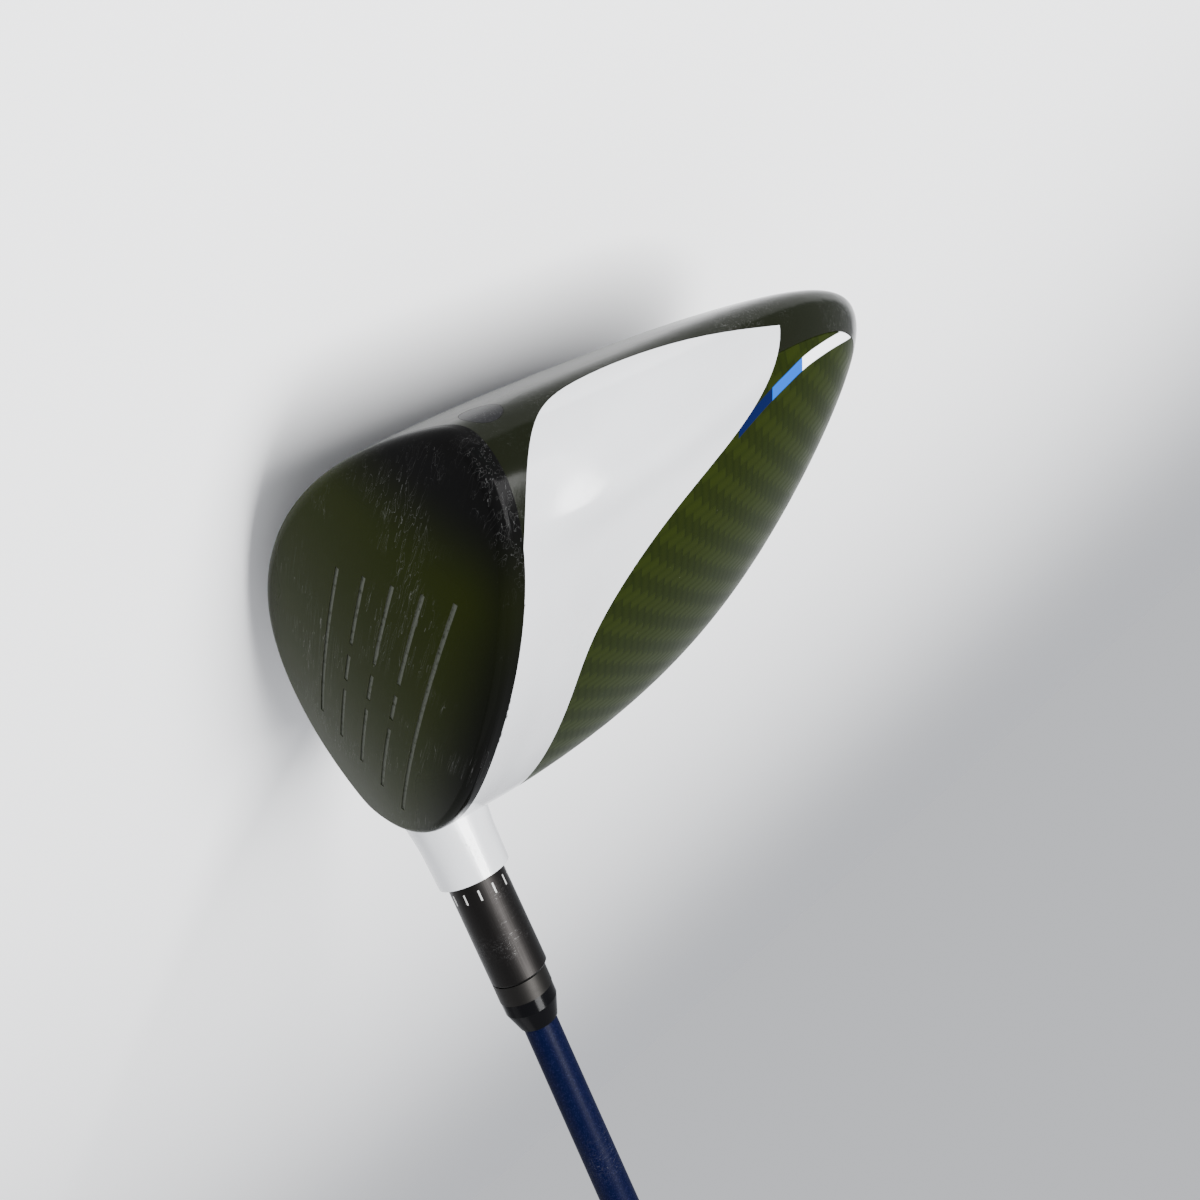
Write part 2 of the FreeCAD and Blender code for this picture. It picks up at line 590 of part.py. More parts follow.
turned("adapter_ring", shaft_frame, [
    (FIT, COLLAR), ("ring_radius", COLLAR), ("ring_radius", f"{COLLAR} + ring_length"),
    (FIT, f"{COLLAR} + ring_length")])
FERRULE = f"({COLLAR} + ring_length)"
turned("ferrule", shaft_frame, [
    (FIT, FERRULE), ("ring_radius - 0.1", FERRULE),
    ("ring_radius - 0.15", f"{FERRULE} + ferrule_length * 0.4"),
    ("ferrule_end_radius", f"{FERRULE} + ferrule_length"), (FIT, f"{FERRULE} + ferrule_length")])
turned("shaft", shaft_frame, [
    ("tip_bore", TIP), ("tip_radius", TIP), ("tip_radius", STRAIGHT), ("butt_radius", END),
    ("butt_bore", END), ("tip_bore", STRAIGHT)])
turned("grip_tape", shaft_frame, [
    (AT_TAPE_MOUTH, TAPE_MOUTH), (f"{AT_TAPE_MOUTH} + tape_thickness", TAPE_MOUTH),
    ("butt_radius + tape_thickness", END), ("butt_radius", END)])
turned("grip", shaft_frame, [
    (AT_GRIP_MOUTH, GRIP_MOUTH), ("grip_mouth_radius", GRIP_MOUTH),
    ("grip_mouth_radius + 0.4", f"{GRIP_MOUTH} + 2"),
    ("grip_palm_radius", f"{END} - grip_waist_at"), ("grip_butt_radius", f"{END} - 6"),
    ("cap_radius", f"{END} - 1"), ("cap_radius", END), ("butt_radius + tape_thickness", END)])
turned("grip_cap", shaft_frame, [
    ("vent_radius", END), ("cap_radius", END), ("cap_radius", f"{END} + cap_thickness - 2"),
    ("cap_radius - 2", f"{END} + cap_thickness"), ("vent_radius", f"{END} + cap_thickness")])

# ---------------------------------------------------------------- sleeve bolt and washer
SEAT = "(-bore_depth - seat_thickness)"
turned("bolt_washer", hosel_frame, [
    ("bolt_radius + 0.15", SEAT), ("washer_radius", SEAT), ("washer_radius", f"{SEAT} - washer_thickness"),
    ("bolt_radius + 0.15", f"{SEAT} - washer_thickness")])
HEAD = f"({SEAT} - washer_thickness)"
bolt = turned("hosel_bolt_blank", hosel_frame, [
    ("0", f"{HEAD} - bolt_head_length"), ("bolt_head_radius - 0.5", f"{HEAD} - bolt_head_length"),
    ("bolt_head_radius", f"{HEAD} - bolt_head_length + 0.5"), ("bolt_head_radius", HEAD),
    ("bolt_radius", HEAD), ("bolt_radius", f"{HEAD} + bolt_length - 0.6"),
    ("bolt_radius - 0.6", f"{HEAD} + bolt_length"), ("0", f"{HEAD} + bolt_length")], keep=False)
socket = lobed_socket(size("socket_radius"), size("socket_depth"))
socket.translate(Vector(0, 0, -size("bore_depth + seat_thickness + washer_thickness + bolt_head_length")))
cut_away("hosel_bolt", bolt, feature("bolt_socket", socket, hosel_frame, keep=False))

# ---------------------------------------------------------------- checks and files
doc.recompute()
for item in doc.Objects:
    failed = [state for state in item.State if state in ("Invalid", "Error")]
    if failed:
        raise RuntimeError(f"{item.Label} did not rebuild: {failed}")
for label, item in sub_parts.items():
    if item.Shape.isNull() or not item.Shape.isValid():
        raise RuntimeError(f"{label} has no valid solid")

os.makedirs("parts", exist_ok=True)
for label, item in sub_parts.items():
    item.Shape.exportStep(f"parts/{label}.step")
    print(f"{label:16s} {len(item.Shape.Solids)} solid(s) {item.Shape.Volume:10.1f} mm3")
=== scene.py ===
"""Looks of a golf driver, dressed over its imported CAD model.

The club stands at address: +Z is up, the face looks along -Y, the toe is on -X and the shaft leans to +X.
Lengths in the finishes' own frames are in millimetres, and places in the scene are in metres.
"""

import json
import logging
import math
from dataclasses import dataclass, field
from enum import Enum
from functools import cache
from typing import Optional, Union

import bpy
from mathutils import Euler, Matrix, Vector


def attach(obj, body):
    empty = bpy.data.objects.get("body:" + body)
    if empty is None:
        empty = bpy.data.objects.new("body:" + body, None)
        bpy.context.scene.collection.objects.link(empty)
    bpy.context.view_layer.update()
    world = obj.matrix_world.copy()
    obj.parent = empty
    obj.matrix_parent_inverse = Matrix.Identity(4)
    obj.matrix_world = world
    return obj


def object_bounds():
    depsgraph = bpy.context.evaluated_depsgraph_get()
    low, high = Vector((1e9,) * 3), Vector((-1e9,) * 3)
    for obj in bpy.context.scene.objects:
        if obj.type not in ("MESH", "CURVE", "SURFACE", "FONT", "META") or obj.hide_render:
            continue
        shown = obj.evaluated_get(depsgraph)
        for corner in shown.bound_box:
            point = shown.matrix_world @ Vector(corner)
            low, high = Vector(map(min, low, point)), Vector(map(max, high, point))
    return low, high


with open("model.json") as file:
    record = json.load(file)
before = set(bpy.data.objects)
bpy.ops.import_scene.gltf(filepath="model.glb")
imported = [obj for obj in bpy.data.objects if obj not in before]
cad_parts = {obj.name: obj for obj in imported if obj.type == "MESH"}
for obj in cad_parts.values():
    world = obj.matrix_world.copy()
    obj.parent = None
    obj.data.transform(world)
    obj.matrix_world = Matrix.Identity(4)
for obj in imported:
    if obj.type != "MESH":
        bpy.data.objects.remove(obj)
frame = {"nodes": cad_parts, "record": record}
CAD_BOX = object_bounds()
log = logging.getLogger("golf_driver")

MM = 0.001
RUBBER = {"shine": 0.15, "grain": 4.0, "grain_depth": 0.03, "dusty": 0.5}
Colour = tuple[float, float, float]
Socket = bpy.types.NodeSocket
Value = Union[float, Socket]


# ------------------------------------------------------------------ places
@dataclass(frozen=True)
class Places:
    """Points and directions of the club that the finishes and the studio are set out from.

    Attributes:
        ground: the point on the ground under the face's centre.
        hosel_rim: the middle of the hosel's rim.
        hosel_axis: the direction from the sole up the hosel.
        shaft_axis: the direction from the head up the shaft.
        weight_mouth: the middle of the rear weight's recess.
        weight_axis: the direction out of that recess.
    """

    ground: Vector
    hosel_rim: Vector
    hosel_axis: Vector
    shaft_axis: Vector
    weight_mouth: Vector
    weight_axis: Vector

    @classmethod
    def from_record(cls, record: dict) -> "Places":
        """Read the places from the record's mounts.

        Args:
            record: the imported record.

        Returns:
            The places, in the frame of the model, in metres.
        """
        mounts = {mount["name"]: mount for mount in record["mounts"]}
        rest = Vector(mounts["sole_rest"]["pos_m"])
        port = Vector(mounts["wrench_port"]["pos_m"])
        axis = -Vector(mounts["wrench_port"]["axis"]).normalized()
        port_depth = 66 * MM
        rest_offset = Vector((10.3, 50, 0)) * MM
        return cls(
            ground=rest - rest_offset,
            hosel_rim=port + axis * port_depth,
            hosel_axis=axis,
            shaft_axis=Vector(mounts["grip_vent"]["axis"]).normalized(),
            weight_mouth=Vector(mounts["weight_socket"]["pos_m"]),
            weight_axis=Vector(mounts["weight_socket"]["axis"]).normalized(),
        )


def standing(axis: Vector) -> Euler:
    """Find the turn that stands +Z along an axis.

    Args:
        axis: the axis.

    Returns:
        The turn.
    """
    return axis.to_track_quat("Z", "Y").to_euler()


# ------------------------------------------------------------------ shader graphs
class Graph:
    """Adds nodes to one shader tree and wires them."""

    def __init__(self, tree: bpy.types.NodeTree) -> None:
        """Keep the tree.

        Args:
            tree: the node tree of a material or a group.
        """
        self.tree = tree

    def node(self, kind: str, **settings: object) -> bpy.types.Node:
        """Add a node.

        Args:
            kind: the node's class name.
            settings: properties to set on it.

        Returns:
            The new node.
        """
        new = self.tree.nodes.new(kind)
        for name, value in settings.items():
            setattr(new, name, value)
        return new

    def feed(self, socket: Socket, value: object) -> None:
        """Wire a socket to another, or set its own value.

        Args:
            socket: the input.
            value: an output socket, a number, a vector or a colour.
        """
        if isinstance(value, Socket):
            self.tree.links.new(value, socket)
        elif socket.type == "RGBA" and len(value) == 3:
            socket.default_value = (*value, 1.0)
        else:
            socket.default_value = value

    def times(self, first: Value, second: Value) -> Socket:
        """Multiply two numbers.

        Args:
            first: a number.
            second: another number.

        Returns:
            Their product.
        """
        return self.calc("MULTIPLY", first, second)

    def calc(self, operation: str, *values: Value) -> Socket:
        """Add a Math node.

        Args:
            operation: the node's operation, such as MULTIPLY.
            values: its inputs, in order.

        Returns:
            The result.
        """
        new = self.node("ShaderNodeMath", operation=operation)
        for socket, value in zip(new.inputs, values):
            self.feed(socket, value)
        return new.outputs[0]

    def step(self, value: Value, low: float, high: float) -> Socket:
        """Rise smoothly from 0 at low to 1 at high.

        Args:
            value: the input.
            low: where the step starts.
            high: where the step ends.

        Returns:
            The stepped value.
        """
        flip = low > high
        new = self.node("ShaderNodeMapRange", interpolation_type="SMOOTHSTEP")
        ends = (high, low, 1.0, 0.0) if flip else (low, high, 0.0, 1.0)
        self.feed(new.inputs[0], value)
        for socket, end in zip(new.inputs[1:5], ends):
            socket.default_value = end
        return new.outputs[0]

    def within(self, value: Value, low: float, high: float, edge: float) -> Socket:
        """One between low and high, with soft edges.

        Args:
            value: the input.
            low: the lower end.
            high: the upper end.
            edge: how far each edge takes to fade.

        Returns:
            The mask.
        """
        return self.times(self.step(value, low - edge, low + edge),
                        self.step(value, high + edge, high - edge))

    def blend(self, share: Value, first: object, second: object) -> Socket:
        """Mix two colours.

        Args:
            share: how much of the second.
            first: a colour.
            second: another colour.

        Returns:
            The mixed colour.
        """
        new = self.node("ShaderNodeMix", data_type="RGBA")
        self.feed(new.inputs[0], share)
        self.feed(new.inputs[6], first)
        self.feed(new.inputs[7], second)
        return new.outputs[2]

    def mix(self, share: Value, first: Value, second: Value) -> Socket:
        """Mix two numbers.

        Args:
            share: how much of the second.
            first: a number.
            second: another number.

        Returns:
            The mixed number.
        """
        new = self.node("ShaderNodeMix", data_type="FLOAT")
        self.feed(new.inputs[0], share)
        self.feed(new.inputs[2], first)
        self.feed(new.inputs[3], second)
        return new.outputs[0]

    def noise(self, vector: Value, scale: float, detail: float = 2.0) -> Socket:
        """Add a noise.

        Args:
            vector: where it is read.
            scale: its scale.
            detail: how many octaves it has.

        Returns:
            The noise, from 0 to 1.
        """
        new = self.node("ShaderNodeTexNoise")
        self.feed(new.inputs["Vector"], vector)
        new.inputs["Scale"].default_value = scale
        new.inputs["Detail"].default_value = detail
        return new.outputs[0]

    def placed(self, origin: Vector, turn: Euler) -> Socket:
        """Object coordinates in a frame of their own, in millimetres.

        Args:
            origin: the frame's origin, in metres.
            turn: the frame's turn.

        Returns:
            The coordinates.
        """
        place = self.node("ShaderNodeTexCoord").outputs["Object"]
        new = self.node("ShaderNodeMapping", vector_type="TEXTURE")
        self.feed(new.inputs["Vector"], place)
        new.inputs["Location"].default_value = origin
        new.inputs["Rotation"].default_value = turn
        new.inputs["Scale"].default_value = (MM, MM, MM)
        return new.outputs[0]

    def parts(self, vector: Value) -> tuple[Socket, ...]:
        """Take a vector apart.

        Args:
            vector: the vector.

        Returns:
            Its x, y and z.
        """
        new = self.node("ShaderNodeSeparateXYZ")
        self.feed(new.inputs[0], vector)
        return tuple(new.outputs)

    def joined(self, x: Value, y: Value, z: Value) -> Socket:
        """Make a vector.

        Args:
            x: its x.
            y: its y.
            z: its z.

        Returns:
            The vector.
        """
        new = self.node("ShaderNodeCombineXYZ")
        for socket, value in zip(new.inputs, (x, y, z)):
            self.feed(socket, value)
        return new.outputs[0]

    def group(self, tree: bpy.types.NodeTree, **inputs: object) -> bpy.types.Node:
        """Place a node group.

        Args:
            tree: the group.
            inputs: values for its inputs, with _ for a space in their names.

        Returns:
            The group node.
        """
        new = self.node("ShaderNodeGroup", node_tree=tree)
        for name, value in inputs.items():
            self.feed(new.inputs[name.replace("_", " ")], value)
        return new


class Effects:
    """Node groups that several finishes share, each built once."""

    @staticmethod
    def _group(name: str, inputs: dict[str, str], outputs: dict[str, str]) -> tuple[
            Graph, bpy.types.Node, bpy.types.Node]:
        """Start a node group.

        Args:
            name: the group's name.
            inputs: the type of each input socket by name.
            outputs: the type of each output socket by name.

        Returns:
            Its graph, its input node and its output node.
        """
        tree = bpy.data.node_groups.new(name, "ShaderNodeTree")
        for way, sockets in (("INPUT", inputs), ("OUTPUT", outputs)):
            for socket, kind in sockets.items():
                tree.interface.new_socket(socket, in_out=way, socket_type="NodeSocket" + kind)
        graph = Graph(tree)
        return graph, graph.node("NodeGroupInput"), graph.node("NodeGroupOutput")

    @staticmethod
    @cache
    def grain() -> bpy.types.NodeTree:
        """A fine uneven surface.

        Returns:
            The group: Vector, Scale and Depth give Height, and Cloud, a slow change from place to place.
        """
        graph, start, end = Effects._group(
            "fine_grain", {"Vector": "Vector", "Scale": "Float", "Depth": "Float"},
            {"Height": "Float", "Cloud": "Float"})
        fine = graph.node("ShaderNodeTexNoise")
        graph.feed(fine.inputs["Vector"], start.outputs["Vector"])
        graph.feed(fine.inputs["Scale"], start.outputs["Scale"])
        fine.inputs["Detail"].default_value = 3.0
        graph.feed(end.inputs["Height"], graph.times(fine.outputs[0], start.outputs["Depth"]))
        graph.feed(end.inputs["Cloud"], graph.noise(start.outputs["Vector"], 0.06, 3.0))
        return graph.tree

    @staticmethod
    @cache
    def scratches() -> bpy.types.NodeTree:
        """Hair-thin scratches in two slanting directions, in patches.

        Returns:
            The group: Vector in millimetres and Amount give Mask.
        """
        graph, start, end = Effects._group(
            "hair_scratches", {"Vector": "Vector", "Amount": "Float"}, {"Mask": "Float"})
        patches = graph.step(graph.noise(start.outputs["Vector"], 0.055, 2.0), 0.46, 0.62)
        lines = []
        for slant, stretch in ((0.5, 0.05), (-0.95, 0.035), (1.35, 0.07)):
            turned = graph.node("ShaderNodeMapping")
            graph.feed(turned.inputs["Vector"], start.outputs["Vector"])
            turned.inputs["Rotation"].default_value = (0.2, 0.3, slant)
            turned.inputs["Scale"].default_value = (stretch, 1.6, 1.6)
            streak = graph.noise(turned.outputs[0], 1.0, 0.0)
            lines.append(graph.within(streak, 0.66, 0.668, 0.004))
        both = graph.calc("MAXIMUM", graph.calc("MAXIMUM", lines[0], lines[1]), lines[2])
        graph.feed(end.inputs["Mask"],
                   graph.times(graph.times(both, patches), start.outputs["Amount"]))
        return graph.tree

    @staticmethod
    @cache
    def dust() -> bpy.types.NodeTree:
        """Small light specks, thinly spread.

        Returns:
            The group: Vector in millimetres and Amount give Mask.
        """
        graph, start, end = Effects._group(
            "dust_specks", {"Vector": "Vector", "Amount": "Float"}, {"Mask": "Float"})
        cells = graph.node("ShaderNodeTexVoronoi")
        graph.feed(cells.inputs["Vector"], start.outputs["Vector"])
        cells.inputs["Scale"].default_value = 0.45
        red, _, _ = graph.parts(cells.outputs["Color"])
        near = graph.step(cells.outputs["Distance"], 0.07, 0.03)
        rare = graph.step(red, 0.8, 0.86)
        graph.feed(end.inputs["Mask"],
                   graph.times(graph.times(near, rare), start.outputs["Amount"]))
        return graph.tree

    @staticmethod
    @cache
    def twill() -> bpy.types.NodeTree:
        """A two-by-two carbon twill: each tow passes over two and under two, a step further each row. The
        tone it gives is painted sheen, lighter on the tows that lie over and on each tow's crown.

        Returns:
            The group: Across and Along, in tow widths, give Tone, Gloss and Height.
        """
        graph, start, end = Effects._group(
            "carbon_twill", {"Across": "Float", "Along": "Float"},
            {"PaintedSheen": "Float", "Gloss": "Float", "Height": "Float"})
        across, along = start.outputs["Across"], start.outputs["Along"]
        steps = graph.calc("SUBTRACT", graph.calc("FLOOR", across), graph.calc("FLOOR", along))
        over = graph.calc("LESS_THAN", graph.calc("FLOORED_MODULO", steps, 4.0), 1.5)
        threads_in_tow = 7
        crowns, threads = [], []
        for place in (across, along):
            share = graph.calc("FRACT", place)
            crowns.append(graph.calc("SINE", graph.times(share, math.pi)))
            threads.append(graph.calc("SINE", graph.times(place, 2 * math.pi * threads_in_tow)))
        crown = graph.mix(over, crowns[1], crowns[0])
        thread = graph.mix(over, threads[1], threads[0])
        # painted sheen: the tows that lie over, the crown of each tow and its threads are painted lighter,
        # where carbon's fibres would shine
        painted_sheen = graph.calc("ADD", graph.times(over, 0.55), graph.times(crown, 0.35))
        graph.feed(end.inputs["PaintedSheen"], graph.calc("ADD", painted_sheen, graph.times(thread, 0.06)))
        graph.feed(end.inputs["Gloss"], graph.times(crown, graph.mix(over, 0.5, 1.0)))
        graph.feed(end.inputs["Height"], graph.calc("ADD", crown, graph.times(thread, 0.08)))
        return graph.tree


# ------------------------------------------------------------------ finishes
@dataclass
class Coat:
    """What one material's shader is fed with while a finish builds it.

    Attributes:
        graph: the material's graph.
        at: the point in the finish's own frame, in millimetres.
        colour: the base colour so far.
        roughness: the roughness so far.
        height: the bump's height so far, in millimetres.
    """

    graph: Graph
    at: Socket
    colour: object
    roughness: Value
    height: Optional[Socket] = None

    def lift(self, relief: Value, depth: float) -> None:
        """Add relief to the bump.

        Args:
            relief: the relief, from 0 to 1.
            depth: how far 1 rises, in millimetres; less than 0 to sink.
        """
        self.height = self.graph.calc("ADD", self.height, self.graph.times(relief, depth))


@dataclass(frozen=True)
class Finish:
    """A surface finish: its plain values, and the detail that its dress method lays over them.

    Attributes:
        name: the material's name.
        colour: base colour.
        roughness: base roughness.
        metallic: 1 for bare metal.
        clear: weight of the clear coat.
        clear_roughness: roughness of the clear coat.
        shine: specular level of the base.
        grain: features of the fine grain per millimetre.
        grain_depth: depth of the fine grain in millimetres.
        scratched: how strongly scratches show.
        dusty: how strongly dust shows.
        origin: origin of the finish's own frame.
        turn: turn of that frame.
    """

    name: str
    colour: Colour
    roughness: float
    metallic: float = 0.0
    clear: float = 0.0
    clear_roughness: float = 0.05
    shine: float = 0.5
    grain: float = 2.0
    grain_depth: float = 0.01
    scratched: float = 0.0
    dusty: float = 0.0
    origin: Vector = field(default_factory=Vector)
    turn: Euler = field(default_factory=Euler)

    def dress(self, coat: Coat) -> None:
        """Lay the finish's own pattern; a plain finish has none.

        Args:
            coat: the colours and values so far, changed in place.
        """

    def build(self) -> bpy.types.Material:
        """Make the material.

        Returns:
            The new material.
        """
        material = bpy.data.materials.new(self.name)
        material.use_nodes = True
        material.diffuse_color = (*self.colour, 1.0)
        graph = Graph(material.node_tree)
        shader = material.node_tree.nodes["Principled BSDF"]
        shader.inputs["Metallic"].default_value = self.metallic
        shader.inputs["Coat Weight"].default_value = self.clear
        shader.inputs["Coat Roughness"].default_value = self.clear_roughness
        shader.inputs["Specular IOR Level"].default_value = self.shine
        at = graph.placed(self.origin, self.turn)
        grain = graph.group(Effects.grain(), Vector=at, Scale=self.grain, Depth=self.grain_depth)
        cloud = graph.calc("MULTIPLY_ADD", grain.outputs["Cloud"], 0.3, 0.85)
        coat = Coat(graph, at, self.colour, self.roughness, grain.outputs["Height"])
        self.dress(coat)
        rough = graph.times(coat.roughness, cloud)
        shade_share = graph.times(grain.outputs["Cloud"], 0.14)
        colour = graph.blend(shade_share, coat.colour, (0.0, 0.0, 0.0))
        if self.scratched:
            marks = graph.group(Effects.scratches(), Vector=at, Amount=self.scratched).outputs[0]
            pale = tuple(min(1.0, part * 0.6 + 0.22) for part in self.colour)
            colour = graph.blend(marks, colour, pale)
            rough = graph.mix(marks, rough, 0.6)
            coat.lift(marks, -0.015)
        if self.dusty:
            specks = graph.group(Effects.dust(), Vector=at, Amount=self.dusty).outputs[0]
            colour = graph.blend(specks, colour, (0.45, 0.43, 0.4))
            rough = graph.mix(specks, rough, 0.8)
        graph.feed(shader.inputs["Base Color"], colour)
        graph.feed(shader.inputs["Roughness"], rough)
        bump = graph.node("ShaderNodeBump")
        bump.inputs["Strength"].default_value = 1.0
        bump.inputs["Distance"].default_value = MM
        graph.feed(bump.inputs["Height"], coat.height)
        graph.feed(shader.inputs["Normal"], bump.outputs[0])
        return material


@dataclass(frozen=True)
class FaceBlack(Finish):
    """Gloss face black with painted score lines sunk in it, worn paint and chips along its top edge.

    Attributes:
        ball: radius of the face's bulge, in millimetres.
        block: where the score lines are, across and up the face, in millimetres.
        strike: where the face's middle is, in the same way.
        lines: colour of the paint in the score lines.
        olive: colour of the face's middle.
    """

    ball: float = 300.0
    block: tuple[tuple[float, float], tuple[float, float]] = ((-38.0, 38.0), (-9.0, 20.5))
    strike: tuple[tuple[float, float], tuple[float, float]] = ((-44.0, 60.0), (-26.0, 25.0))
    lines: Colour = (0.075, 0.08, 0.065)
    olive: Colour = (0.0095, 0.013, 0.001)

    def dress(self, coat: Coat) -> None:
        """Paint the grooves, found by how far they lie under the face's ball.

        Args:
            coat: the colours and values so far, changed in place.
        """
        graph = coat.graph
        across, up, out = graph.parts(coat.at)
        reach = graph.node("ShaderNodeVectorMath", operation="LENGTH")
        graph.feed(reach.inputs[0], graph.joined(across, up, graph.calc("ADD", out, self.ball)))
        sunk = graph.calc("SUBTRACT", self.ball, reach.outputs["Value"])
        groove = graph.step(sunk, 0.08, 0.16)
        block = graph.times(graph.within(across, *self.block[0], 0.4),
                          graph.within(up, *self.block[1], 0.4))
        groove = graph.times(groove, block)
        worn = graph.step(graph.noise(coat.at, 0.9, 3.0), 0.3, 0.5)
        paint = graph.times(groove, graph.mix(worn, 0.45, 1.0))
        middle = graph.times(graph.within(across, *self.strike[0], 9.0),
                           graph.within(up, *self.strike[1], 8.0))
        brushed = graph.noise(graph.joined(graph.times(across, 0.15), up, out), 3.0, 2.0)
        olive = graph.blend(middle, self.colour, self.olive)
        coat.colour = graph.blend(paint, olive, self.lines)
        coat.roughness = graph.mix(paint, graph.mix(middle, self.roughness, 0.3), 0.55)
        coat.height = graph.calc("ADD", coat.height, graph.times(
            graph.times(brushed, middle), 0.012))


@dataclass(frozen=True)
class Fold:
    """A soft ridge, or a hollow where its rise is negative, along a straight line in plan.

    Attributes:
        start: where it starts, in millimetres.
        end: where it ends, in millimetres.
        width: half its width, in millimetres.
        rise: its height, in millimetres.
    """

    start: tuple[float, float]
    end: tuple[float, float]
    width: float
    rise: float

    def height(self, graph: Graph, at: Value) -> Socket:
        """Find the fold's height at each point.

        Args:
            graph: the graph to add to.
            at: the point, in millimetres.

        Returns:
            The height, in millimetres.
        """
        x, y, _ = graph.parts(at)
        line = Vector(self.end) - Vector(self.start)
        run, way = line.length, line.normalized()
        right, back = graph.calc("SUBTRACT", x, self.start[0]), graph.calc("SUBTRACT", y, self.start[1])
        along = graph.calc("ADD", graph.times(right, way.x), graph.times(back, way.y))
        off = graph.calc("SUBTRACT", graph.times(right, way.y / self.width),
                        graph.times(back, way.x / self.width))
        bell = graph.calc("EXPONENT", graph.times(graph.times(off, off), -1.0))
        return graph.times(graph.times(bell, graph.within(along, 0.0, run, run / 6)),
                         self.rise)


@dataclass(frozen=True)
class CrownPaint(Finish):
    """Gloss crown white, chipped along the face's top edge and scuffed in a few places.

    Attributes:
        chip: colour of what shows in a chip.
        face_ball: radius of the face's bulge, in millimetres.
        face_loft: the face's lean, in degrees.
        face_height: height of the face's centre, in millimetres.
        folds: the soft ridge and hollow pressed in the band.
    """

    chip: Colour = (0.03, 0.03, 0.03)
    face_ball: float = 300.0
    face_loft: float = 10.5
    face_height: float = 32.0
    folds: tuple[Fold, ...] = (
        Fold((-51.0, 20.0), (-63.0, 84.0), 3.6, 1.5),
        Fold((-48.0, 20.0), (50.0, 20.0), 6.0, -1.3),
    )

    def dress(self, coat: Coat) -> None:
        """Lay chips near the face, soft scuffs and the band's folds.

        Args:
            coat: the colours and values so far, changed in place.
        """
        graph = coat.graph
        loft = math.radians(self.face_loft)
        centre = Vector((0, math.cos(loft), -math.sin(loft))) * self.face_ball
        centre += Vector((0, 0, self.face_height))
        away = graph.node("ShaderNodeVectorMath", operation="DISTANCE")
        graph.feed(away.inputs[0], coat.at)
        away.inputs[1].default_value = centre
        behind = graph.calc("SUBTRACT", self.face_ball, away.outputs["Value"])
        rough_edge = graph.times(graph.noise(coat.at, 0.8, 4.0), 3.2)
        near = graph.step(graph.calc("ADD", behind, rough_edge), 4.6, 4.2)
        patch = graph.step(graph.noise(coat.at, 0.14, 1.0), 0.5, 0.56)
        side, _, _ = graph.parts(coat.at)
        chips = graph.times(graph.times(near, patch), graph.step(side, 40.0, 36.0))
        scuffs = graph.times(graph.step(graph.noise(coat.at, 0.07, 1.0), 0.62, 0.7),
                           graph.step(graph.noise(coat.at, 1.2, 3.0), 0.52, 0.62))
        coat.colour = graph.blend(chips, graph.blend(graph.times(scuffs, 0.35), self.colour,
                                                     (0.5, 0.5, 0.5)), self.chip)
        coat.roughness = graph.mix(chips, graph.mix(scuffs, self.roughness, 0.5), 0.6)
        coat.lift(chips, -0.08)
        for fold in self.folds:
            coat.height = graph.calc("ADD", coat.height, fold.height(graph, coat.at))


@dataclass(frozen=True)
class CarbonWeave(Finish):
    """Clear-coated carbon twill, with the sheen of its tows painted into its colour.

    Attributes:
        tow: width of one tow, in millimetres.
        bright: the colour of the painted sheen, strongest on the tows that lie across.
        slant: turn of the weave in plan, in degrees.
    """

    tow: float = 2.1
    bright: Colour = (0.011, 0.0165, 0.0015)
    slant: float = 8.0

    def dress(self, coat: Coat) -> None:
        """Lay the weave in plan.

        Args:
            coat: the colours and values so far, changed in place.
        """
        graph = coat.graph
        x, y, _ = graph.parts(coat.at)
        turn = math.radians(self.slant)
        across = graph.calc("ADD", graph.times(x, math.cos(turn) / self.tow),
                           graph.times(y, math.sin(turn) / self.tow))
        along = graph.calc("SUBTRACT", graph.times(y, math.cos(turn) / self.tow),
                          graph.times(x, math.sin(turn) / self.tow))
        twill = graph.group(Effects.twill(), Across=across, Along=along)
        # painted sheen: the twill's lighter tows and tow crowns blend towards bright
        coat.colour = graph.blend(twill.outputs["PaintedSheen"], self.colour, self.bright)
        coat.roughness = graph.mix(twill.outputs["Gloss"], self.roughness + 0.06, self.roughness)
        coat.lift(twill.outputs["Height"], 0.004)


